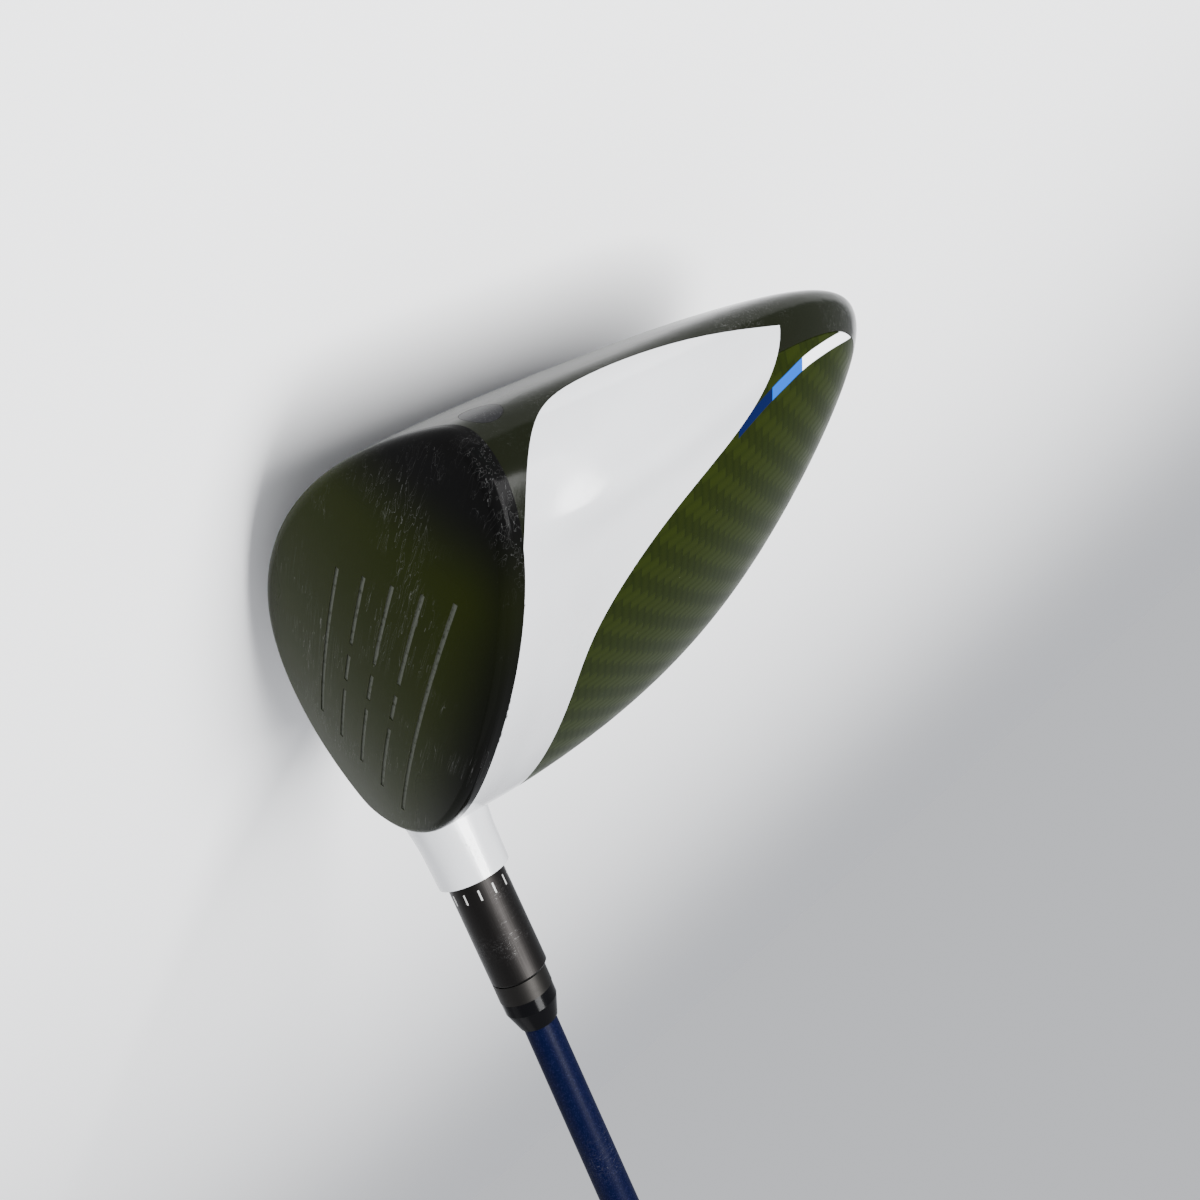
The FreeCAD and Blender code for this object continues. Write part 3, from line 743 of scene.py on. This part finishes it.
@dataclass(frozen=True)
class StripedCarbon(CarbonWeave):
    """The crown's carbon, with a three-part painted stripe near its toe edge.

    Attributes:
        stripe: half the stripe's width, in millimetres.
        bends: the stripe's middle line in plan, as (x, y) in millimetres.
        paints: each part of the stripe, as the y where it ends and its colour.
    """

    stripe: float = 1.0
    bends: tuple[tuple[float, float], ...] = ((-53.0, 60.0), (-57.0, 73.0), (-58.3, 84.0), (-55.5, 102.0))
    paints: tuple[tuple[float, Colour], ...] = (
        (69.5, (0.002, 0.005, 0.035)), (79.0, (0.0, 0.07, 0.38)), (200.0, (0.85, 0.87, 0.9)))

    def dress(self, coat: Coat) -> None:
        """Lay the weave, then the stripe over it.

        Args:
            coat: the colours and values so far, changed in place.
        """
        super().dress(coat)
        graph = coat.graph
        x, y, _ = graph.parts(coat.at)
        place = graph.node("ShaderNodeFloatCurve")
        low, high = self.bends[0][1], self.bends[-1][1]
        curve = place.mapping.curves[0]
        left, spread = -65.0, 20.0
        points = [((y_end - low) / (high - low), (x_end - left) / spread) for x_end, y_end in self.bends]
        curve.points[0].location = points[0]
        curve.points[1].location = points[-1]
        for point in points[1:-1]:
            curve.points.new(*point)
        place.mapping.update()
        graph.feed(place.inputs["Value"], graph.calc("DIVIDE", graph.calc("SUBTRACT", y, low), high - low))
        middle = graph.calc("MULTIPLY_ADD", place.outputs[0], spread, left)
        off = graph.calc("ABSOLUTE", graph.calc("SUBTRACT", x, middle))
        line = graph.times(graph.step(off, self.stripe + 0.06, self.stripe - 0.06),
                         graph.within(y, low, high, 0.06))
        paint = self.paints[-1][1]
        for end, colour in reversed(self.paints[:-1]):
            paint = graph.blend(graph.step(y, end + 0.05, end - 0.05), paint, colour)
        coat.colour = graph.blend(line, coat.colour, paint)
        coat.roughness = graph.mix(line, coat.roughness, 0.2)
        coat.lift(line, 0.03)


class Marks(Enum):
    """How a metal piece was worked."""

    TURNED = "rings round its axis"
    DRAWN = "fine lines along its axis"
    THREADED = "a screw thread on its shank"


@dataclass(frozen=True)
class WorkedMetal(Finish):
    """Metal with the marks of its making, in a frame whose Z is the piece's axis.

    Attributes:
        marks: how it was worked.
        thread: pitch of the thread, in millimetres.
        threaded: where the thread starts and ends along the axis, in millimetres.
    """

    marks: Marks = Marks.TURNED
    thread: float = 0.8
    threaded: tuple[float, float] = (0.0, 0.0)

    def dress(self, coat: Coat) -> None:
        """Lay the marks, and paint the threaded shank darker as painted shade.

        Args:
            coat: the colours and values so far, changed in place.
        """
        graph = coat.graph
        x, y, z = graph.parts(coat.at)
        radius = graph.calc("SQRT", graph.calc("ADD", graph.times(x, x), graph.times(y, y)))
        angle = graph.calc("ARCTAN2", y, x)
        if self.marks is Marks.DRAWN:
            vector = graph.joined(graph.times(angle, 30.0), graph.times(z, 0.12), 0.0)
            lines, depth = graph.noise(vector, 1.0, 3.0), 0.012
        else:
            vector = graph.joined(graph.times(radius, 9.0), graph.times(z, 9.0),
                                  graph.times(angle, 0.4))
            lines, depth = graph.noise(vector, 1.0, 2.0), 0.012
        coat.lift(lines, depth)
        coat.roughness = graph.calc("ADD", self.roughness, graph.times(lines, 0.18))
        if self.marks is Marks.THREADED:
            turns = graph.calc("ADD", graph.calc("DIVIDE", z, self.thread),
                              graph.calc("DIVIDE", angle, 2 * math.pi))
            ridge = graph.calc("PINGPONG", turns, 0.5)
            shank = graph.within(z, *self.threaded, 0.05)
            ridge = graph.times(ridge, graph.times(shank, 0.7))
            coat.height = graph.calc("ADD", coat.height, ridge)
            # painted shade: the threaded part of the shank is painted darker, in place of shade in the
            # thread's grooves
            coat.colour = graph.blend(graph.times(shank, 0.5), self.colour,
                                      tuple(part * 0.4 for part in self.colour))


@dataclass(frozen=True)
class ShaftPaint(Finish):
    """Navy shaft paint with a fine metal flake under a clear coat."""

    def dress(self, coat: Coat) -> None:
        """Scatter the flake.

        Args:
            coat: the colours and values so far, changed in place.
        """
        graph = coat.graph
        cells = graph.node("ShaderNodeTexVoronoi")
        graph.feed(cells.inputs["Vector"], coat.at)
        cells.inputs["Scale"].default_value = 6.0
        red, _, _ = graph.parts(cells.outputs["Color"])
        flake = graph.times(graph.step(red, 0.75, 1.0), 0.5)
        bright = tuple(min(1.0, part * 2.6 + 0.01) for part in self.colour)
        coat.colour = graph.blend(flake, self.colour, bright)
        coat.roughness = graph.mix(flake, self.roughness, self.roughness * 0.6)


@dataclass(frozen=True)
class GripRubber(Finish):
    """Grip rubber with a moulded pattern of small lozenges between plain bands, in the shaft's frame.

    Attributes:
        lozenge: length of one lozenge along the grip, in millimetres.
        round_count: how many lozenges go round.
        band: distance between the plain bands, in millimetres.
    """

    lozenge: float = 3.4
    round_count: int = 16
    band: float = 46.0

    def dress(self, coat: Coat) -> None:
        """Sink the lines between the lozenges, and paint them darker as painted shade.

        Args:
            coat: the colours and values so far, changed in place.
        """
        graph = coat.graph
        x, y, z = graph.parts(coat.at)
        around = graph.times(graph.calc("ARCTAN2", y, x), self.round_count / (2 * math.pi))
        along = graph.calc("DIVIDE", z, self.lozenge)
        lines = []
        for operation in ("ADD", "SUBTRACT"):
            share = graph.calc("PINGPONG", graph.calc(operation, around, along), 0.5)
            lines.append(graph.step(share, 0.11, 0.04))
        net = graph.calc("MAXIMUM", lines[0], lines[1])
        band = graph.calc("PINGPONG", z, self.band / 2)
        plain = graph.step(band, 2.0, 2.4)
        ring = graph.within(band, 2.4, 3.2, 0.15)
        sunk = graph.calc("MAXIMUM", graph.times(net, plain), ring)
        # painted shade: the sunk lines and rings are painted darker than the rubber round them
        coat.colour = graph.blend(graph.times(sunk, 0.6), self.colour, (0.004, 0.004, 0.004))
        coat.roughness = graph.mix(sunk, self.roughness, 0.9)
        coat.lift(sunk, -0.35)


@dataclass(frozen=True)
class WovenTape(Finish):
    """Cloth tape: a plain weave wound round the shaft."""

    def dress(self, coat: Coat) -> None:
        """Lay the threads, with painted shade where the weave sinks.

        Args:
            coat: the colours and values so far, changed in place.
        """
        graph = coat.graph
        x, y, z = graph.parts(coat.at)
        around = graph.times(graph.calc("ARCTAN2", y, x), 16.0)
        warp = graph.calc("SINE", graph.times(around, math.pi))
        weft = graph.calc("SINE", graph.times(z, math.pi * 2.2))
        weave = graph.times(warp, weft)
        # painted shade: the cloth is painted darker where the weave sinks
        coat.colour = graph.blend(graph.step(weave, -0.6, 0.6), tuple(part * 0.7 for part in self.colour),
                                  self.colour)
        coat.lift(weave, 0.05)


def dress(nodes: list[str], finish: Finish) -> bpy.types.Material:
    """Give CAD nodes a finish.

    Args:
        nodes: the nodes' names.
        finish: the finish.

    Returns:
        The material made from it.
    """
    material = finish.build()
    for name in nodes:
        piece = frame["nodes"][name]
        if not piece.material_slots:
            piece.data.materials.append(material)
        for index in range(len(piece.material_slots)):
            piece.material_slots[index].material = material
        log.info("%s: %s", name, finish.name)
    return material


@dataclass
class Assembly:
    """A part of the club that is dressed or modelled together.

    Attributes:
        places: the club's places.
    """

    places: Places


# ------------------------------------------------------------------ new pieces
def shade(piece: bpy.types.Object, angle: float = 35.0) -> None:
    """Smooth a piece except at its edges.

    Args:
        piece: the piece.
        angle: the sharpest angle that is smoothed, in degrees.
    """
    bpy.ops.object.select_all(action="DESELECT")
    piece.select_set(True)
    bpy.context.view_layer.objects.active = piece
    bpy.ops.object.shade_smooth_by_angle(angle=math.radians(angle))


def settled(name: str) -> bpy.types.Object:
    """Name the active object and put its place into its mesh.

    Args:
        name: its new name.

    Returns:
        The object, at the origin and unturned.
    """
    piece = bpy.context.object
    piece.name = piece.data.name = name
    bpy.ops.object.transform_apply(location=True, rotation=True, scale=True)
    return piece


def girth(node: str, origin: Vector, axis: Vector, at: float) -> float:
    """Measure how far a CAD node reaches from an axis, near one place along it.

    Args:
        node: the node's name.
        origin: a point of the axis, in metres.
        axis: its direction.
        at: the place along it from the origin, in millimetres.

    Returns:
        The radius, in millimetres.
    """
    piece = frame["nodes"][node]
    rings = []
    for vertex in piece.data.vertices:
        offset = (piece.matrix_world @ vertex.co - origin) / MM
        along = offset.dot(axis)
        rings.append((along, (offset - along * axis).length))
    below = max((ring for ring in rings if ring[0] <= at), key=lambda ring: (round(ring[0], 1), ring[1]))
    above = min((ring for ring in rings if ring[0] >= at), key=lambda ring: (round(ring[0], 1), -ring[1]))
    same_ring = 0.04
    if above[0] - below[0] < same_ring:
        return max(above[1], below[1])
    share = (at - below[0]) / (above[0] - below[0])
    return below[1] + share * (above[1] - below[1])


@dataclass
class GripBands(Assembly):
    """Raised plain bands moulded round the grip.

    Attributes:
        spacing: distance between the bands, in millimetres.
        count: how many there are.
        width: width of one, in millimetres.
        rise: how far it stands over the grip, in millimetres.
        depth: how far it reaches into the grip, in millimetres.
    """

    spacing: float = 46.0
    count: int = 5
    width: float = 3.0
    rise: float = 0.35
    depth: float = 0.6

    def band(self, number: int) -> bpy.types.Object:
        """Model one band.

        Args:
            number: which one, counted from the butt.

        Returns:
            The band.
        """
        at = -self.spacing * number
        axis = self.places.shaft_axis
        radius = girth("grip", Vector(), axis, at) + self.rise
        bpy.ops.object.select_all(action="DESELECT")
        bpy.ops.mesh.primitive_cylinder_add(
            vertices=72, radius=radius * MM, depth=self.width * MM, end_fill_type="NOTHING",
            location=axis * at * MM, rotation=standing(axis))
        piece = settled(f"grip_band_{number}")
        wall = piece.modifiers.new("wall", "SOLIDIFY")
        wall.thickness = (self.rise + self.depth) * MM
        wall.offset = -1.0
        round_over = piece.modifiers.new("round_over", "BEVEL")
        round_over.width = 0.25 * MM
        round_over.segments = 3
        round_over.limit_method = "ANGLE"
        for name in ("wall", "round_over"):
            bpy.ops.object.modifier_apply(modifier=name)
        shade(piece)
        return piece

    def build(self) -> None:
        """Model the bands and give them the grip's rubber."""
        turn = standing(self.places.shaft_axis)
        rubber = Finish("band_rubber", (0.011, 0.011, 0.012), 0.62, turn=turn, **RUBBER).build()
        for number in range(1, self.count + 1):
            piece = self.band(number)
            piece.data.materials.append(rubber)
            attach(piece, "shaft_assembly")
            log.info("%s added", piece.name)


@dataclass
class SettingTicks(Assembly):
    """Painted ticks round the loft sleeve, and the index on the hosel that they turn past.

    Attributes:
        count: how many ticks go round.
        low: how far over the hosel's rim they start, in millimetres.
        length: length of a tick, in millimetres.
        width: its width, in millimetres.
        rise: how far it stands over the metal, in millimetres.
    """

    count: int = 12
    low: float = 2.2
    length: float = 2.6
    width: float = 0.45
    rise: float = 0.06

    def tick(self, name: str, radius: float, at: float, tall: float, wide: float) -> bpy.types.Object:
        """Model one tick on the +X side of the hosel's frame.

        Args:
            name: its name.
            radius: radius of the metal under it, in millimetres.
            at: its middle along the hosel's axis from the rim, in millimetres.
            tall: its length, in millimetres.
            wide: its width, in millimetres.

        Returns:
            The tick.
        """
        turn = self.places.hosel_axis.to_track_quat("Z", "Y")
        sunk = 0.3
        middle = turn @ Vector((radius + (self.rise - sunk) / 2, 0, at))
        bpy.ops.object.select_all(action="DESELECT")
        bpy.ops.mesh.primitive_cube_add(size=1, location=self.places.hosel_rim + middle * MM,
                                        rotation=turn.to_euler(),
                                        scale=((self.rise + sunk) * MM, wide * MM, tall * MM))
        piece = settled(name)
        bpy.ops.object.mode_set(mode="EDIT")
        bpy.ops.mesh.select_all(action="SELECT")
        bpy.ops.mesh.bevel(offset=0.05 * MM, segments=2)
        bpy.ops.object.mode_set(mode="OBJECT")
        shade(piece, 30.0)
        return piece

    def build(self) -> None:
        """Model the ticks and the index."""
        rim, axis = self.places.hosel_rim, self.places.hosel_axis
        paint = Finish("tick_paint", (0.4, 0.4, 0.39), 0.5, clear=0.1, grain=1.5, grain_depth=0.004,
                       dusty=0.3, scratched=0.3, origin=rim).build()
        dark = Finish("index_paint", (0.01, 0.01, 0.011), 0.35, shine=0.2, grain=1.5, grain_depth=0.004,
                      scratched=0.3, origin=rim).build()
        first = self.tick("sleeve_tick_0", 7.2, self.low + self.length / 2, self.length, self.width)
        ticks = [first]
        for number in range(1, self.count):
            piece = first.copy()
            piece.data = first.data.copy()
            piece.name = piece.data.name = f"sleeve_tick_{number}"
            spin = Matrix.Rotation(2 * math.pi * number / self.count, 4, axis)
            piece.data.transform(Matrix.Translation(rim) @ spin @ Matrix.Translation(-rim))
            bpy.context.scene.collection.objects.link(piece)
            ticks.append(piece)
        for piece in ticks:
            piece.data.materials.append(paint)
            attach(piece, "shaft_assembly")
            log.info("%s added", piece.name)
        index = self.tick("hosel_index", girth("crown_band", rim, axis, -2.0), -2.0, 2.0, 0.9)
        index.data.materials.append(dark)
        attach(index, "head")
        log.info("hosel_index added")


# ------------------------------------------------------------------ sub-assemblies
@dataclass
class HeadShell(Assembly):
    """The hollow head: face, white crown band, carbon crown, skirt and sole.

    Attributes:
        loft: the face's lean, in degrees.
        face_height: height of the face's centre, in millimetres.
    """

    loft: float = 10.5
    face_height: float = 32.0

    def build(self) -> None:
        """Dress the head's pieces."""
        ground = self.places.ground
        face = ground + Vector((0, 0, self.face_height)) * MM
        lean = Euler((math.radians(90 - self.loft), 0, 0))
        dress(["face_plate"], FaceBlack("face_black", (0.003, 0.003, 0.003), 0.12, shine=0.015,
                                        scratched=0.25, grain_depth=0.004, origin=face, turn=lean))
        dress(["crown_band"], CrownPaint("crown_white", (0.6, 0.61, 0.63), 0.2, clear=0.8, scratched=0.35,
                                         dusty=0.5, grain=0.5, grain_depth=0.012, origin=ground))
        # The carbon finishes paint the sheen of their tows into colour, towards their bright colour.
        dress(["crown_panel"], StripedCarbon("crown_carbon", (0.006, 0.0095, 0.001), 0.3, shine=0.025,
                                             dusty=0.1, origin=ground))
        dress(["sole_panel_toe", "sole_panel_heel"],
              CarbonWeave("sole_carbon", (0.008, 0.009, 0.008), 0.25, shine=0.1, clear=0.12,
                          bright=(0.03, 0.03, 0.03), slant=40.0, scratched=0.3, origin=ground))
        dress(["chassis"], Finish("body_black", (0.005, 0.006, 0.003), 0.14, shine=0.05, clear=0.01,
                                  scratched=0.25, dusty=0.4, grain=0.6, grain_depth=0.008, origin=ground))
        dress(["slot_insert"], Finish("slot_rubber", (0.025, 0.025, 0.026), 0.62, grain=3.0,
                                      grain_depth=0.03, dusty=0.8, origin=ground))
        dress(["toe_plug"], Finish("plug_black", (0.006, 0.006, 0.007), 0.3, shine=0.05,
                                   scratched=0.5, origin=ground))
        dress(["damping_resin"], Finish("cast_resin", (0.6, 0.52, 0.33), 0.5, clear=0.2, grain=0.4,
                                        grain_depth=0.1, origin=ground))


@dataclass
class SoleKeel(Assembly):
    """The keel under the sole and the screwed weight at its rear."""

    def build(self) -> None:
        """Dress the keel, the weight and its screw."""
        mouth = self.places.weight_mouth
        turn = standing(self.places.weight_axis)
        dress(["sole_keel"], Finish("keel_black", (0.01, 0.01, 0.011), 0.38, shine=0.12, clear=0.03,
                                    scratched=1.0, dusty=0.6, grain=3.0, grain_depth=0.02,
                                    origin=self.places.ground))
        dress(["weight_slug"], WorkedMetal("weight_steel", (0.55, 0.55, 0.57), 0.26, metallic=1.0,
                                           scratched=0.4, grain_depth=0.004, origin=mouth, turn=turn))
        dress(["weight_screw"], WorkedMetal("weight_screw_steel", (0.25, 0.25, 0.26), 0.3, metallic=1.0,
                                            marks=Marks.THREADED, thread=0.7, threaded=(-9.6, -3.9),
                                            grain_depth=0.004, origin=mouth, turn=turn))


@dataclass
class SleeveJoint(Assembly):
    """The hosel's tube, the loft sleeve in it, the sleeve's bolt, and the ring and ferrule above."""

    def build(self) -> None:
        """Dress the joint's pieces."""
        rim = self.places.hosel_rim
        turn = standing(self.places.hosel_axis)
        shaft_turn = standing(self.places.shaft_axis)
        metal = {"metallic": 1.0, "origin": rim, "turn": turn, "grain_depth": 0.004}
        dress(["hosel_tube"], WorkedMetal("hosel_titanium", (0.42, 0.41, 0.4), 0.3, **metal))
        dress(["spline_insert"], WorkedMetal("insert_steel", (0.45, 0.45, 0.47), 0.3, **metal))
        dress(["loft_sleeve"], WorkedMetal("sleeve_anodised", (0.016, 0.015, 0.0145), 0.38,
                                           marks=Marks.DRAWN, scratched=0.5, **metal))
        dress(["adapter_ring"], WorkedMetal("ring_grey", (0.02, 0.019, 0.018), 0.42, **metal))
        dress(["ferrule"], Finish("ferrule_black", (0.002, 0.002, 0.0025), 0.2, shine=0.05, clear=0.02,
                                  scratched=0.15, grain_depth=0.003, origin=rim, turn=shaft_turn))
        dress(["bolt_washer"], WorkedMetal("washer_steel", (0.4, 0.4, 0.41), 0.32, **metal))
        dress(["hosel_bolt"], WorkedMetal("bolt_steel", (0.2, 0.2, 0.21), 0.32, marks=Marks.THREADED,
                                          thread=0.8, threaded=(-43.4, -33.2), **metal))


@dataclass
class ShaftAndGrip(Assembly):
    """The shaft, and the taped rubber grip on its butt."""

    def build(self) -> None:
        """Dress the shaft, the tape, the grip and its cap."""
        turn = standing(self.places.shaft_axis)
        dress(["shaft"], ShaftPaint("shaft_navy", (0.0008, 0.0018, 0.014), 0.45, shine=0.03, clear=0.01,
                                    clear_roughness=0.25, grain=0.5, grain_depth=0.006,
                                    scratched=0.15, turn=turn))
        dress(["grip_tape"], WovenTape("tape_cloth", (0.75, 0.7, 0.58), 0.8, turn=turn))
        dress(["grip"], GripRubber("grip_rubber", (0.012, 0.012, 0.013), 0.7, turn=turn, **RUBBER))
        dress(["grip_cap"], Finish("cap_rubber", (0.012, 0.012, 0.013), 0.62, turn=turn, **RUBBER))


# ------------------------------------------------------------------ studio
@dataclass(frozen=True)
class Lamp:
    """A soft rectangular light, aimed at a point of the head.

    Attributes:
        name: the light's name.
        at: where it is from the ground point, in millimetres.
        aim: what it looks at, in the same way.
        width: its width, in millimetres.
        height: its height, in millimetres.
        power: its power in watts.
    """

    name: str
    at: tuple[float, float, float]
    aim: tuple[float, float, float]
    width: float
    height: float
    power: float

    def build(self, places: Places) -> None:
        """Add the light to the scene.

        Args:
            places: the club's places.
        """
        light = bpy.data.lights.new(self.name, "AREA")
        light.shape = "RECTANGLE"
        light.size = self.width * MM
        light.size_y = self.height * MM
        light.energy = self.power
        holder = bpy.data.objects.new(self.name, light)
        holder.location = places.ground + Vector(self.at) * MM
        look = Vector(self.aim) - Vector(self.at)
        holder.rotation_euler = look.to_track_quat("-Z", "Y").to_euler()
        bpy.context.scene.collection.objects.link(holder)


@dataclass
class Studio:
    """The floor, the light and the camera.

    Attributes:
        places: the club's places.
        azimuth: the camera's direction round the head, in degrees.
        elevation: its height, in degrees.
        roll: its turn about its own axis, in degrees.
        distance: its distance from the aim, in millimetres.
        aim: the point on its axis, from the ground point, in millimetres.
        lens: its focal length, in millimetres.
        shift: how far its frame is moved, in frame widths.
        sky: strength of the pale surroundings.
        lamps: the lights.
    """

    places: Places
    azimuth: float = -57.41
    elevation: float = 24.05
    roll: float = 138.96
    distance: float = 200.05
    aim: tuple[float, float, float] = (0.0, 30.0, 35.0)
    lens: float = 29.45
    shift: tuple[float, float] = (0.0987, 0.0162)
    sky: float = 0.72
    lamps: tuple[Lamp, ...] = (
        Lamp("key_softbox", (-500, 150, 750), (0, 40, 40), 380, 520, 26.0),
        Lamp("face_strip", (-750, -500, 250), (-20, 0, 40), 160, 700, 1.5),
        Lamp("fill_softbox", (500, -600, 500), (0, 20, 40), 600, 600, 1.0),
    )

    def floor(self) -> None:
        """Lay the pale floor that the head rests on, painted paler away from the head as painted light."""
        bpy.ops.object.select_all(action="DESELECT")
        clearance = 0.2 * MM
        low = CAD_BOX[0]
        bpy.ops.mesh.primitive_plane_add(
            size=40, location=(self.places.ground.x, self.places.ground.y, low[2] - clearance))
        plane = bpy.context.object
        plane.name = "floor"
        material = bpy.data.materials.new("pale_floor")
        material.use_nodes = True
        graph = Graph(material.node_tree)
        shader = material.node_tree.nodes["Principled BSDF"]
        at = graph.placed(Vector(), Euler())
        cloud = graph.noise(at, 0.01, 3.0)
        away = graph.node("ShaderNodeVectorMath", operation="DISTANCE")
        graph.feed(away.inputs[0], at)
        away.inputs[1].default_value = self.places.ground / MM
        # painted light: the floor is painted paler away from the head, where the lamps light it less, so
        # that it meets the pale surroundings
        far = graph.step(away.outputs["Value"], 250.0, 1500.0)
        near = graph.blend(cloud, (0.86, 0.86, 0.86), (0.83, 0.83, 0.83))
        graph.feed(shader.inputs["Base Color"], graph.blend(far, near, (0.985, 0.99, 1.0)))
        graph.feed(shader.inputs["Roughness"], graph.calc("MULTIPLY_ADD", cloud, 0.1, 0.6))
        plane.data.materials.append(material)

    def light(self) -> None:
        """Add the soft lights and the pale surroundings."""
        world = bpy.data.worlds.new("pale_studio")
        world.use_nodes = True
        background = world.node_tree.nodes["Background"]
        background.inputs["Color"].default_value = (0.93, 0.95, 1.0, 1.0)
        background.inputs["Strength"].default_value = self.sky
        bpy.context.scene.world = world
        for lamp in self.lamps:
            lamp.build(self.places)

    def camera(self) -> None:
        """Set the camera."""
        round_, rise = math.radians(self.azimuth), math.radians(self.elevation)
        level = math.cos(rise)
        back = Vector((math.sin(round_) * level, -math.cos(round_) * level, math.sin(rise)))
        right = (-back).cross(Vector((0, 0, 1))).normalized()
        up = right.cross(-back)
        stand = self.places.ground + (Vector(self.aim) + back * self.distance) * MM
        pose = Matrix((right, up, back)).transposed() @ Matrix.Rotation(math.radians(self.roll), 3, "Z")
        data = bpy.data.cameras.new("camera")
        data.lens = self.lens
        data.sensor_width = 36
        data.shift_x, data.shift_y = self.shift
        data.clip_start = 10 * MM
        holder = bpy.data.objects.new("camera", data)
        holder.matrix_world = Matrix.Translation(stand) @ pose.to_4x4()
        bpy.context.scene.collection.objects.link(holder)
        bpy.context.scene.camera = holder

    def build(self) -> None:
        """Build the studio."""
        self.camera()
        self.floor()
        self.light()
        log.info("studio ready")


def main() -> None:
    """Dress the club and build the studio round it."""
    logging.basicConfig(level=logging.INFO, format="%(message)s")
    places = Places.from_record(frame["record"])
    Studio(places).build()
    for assembly in (HeadShell(places), SoleKeel(places), SleeveJoint(places), ShaftAndGrip(places),
                     GripBands(places), SettingTicks(places)):
        assembly.build()


if __name__ == "__main__":
    main()
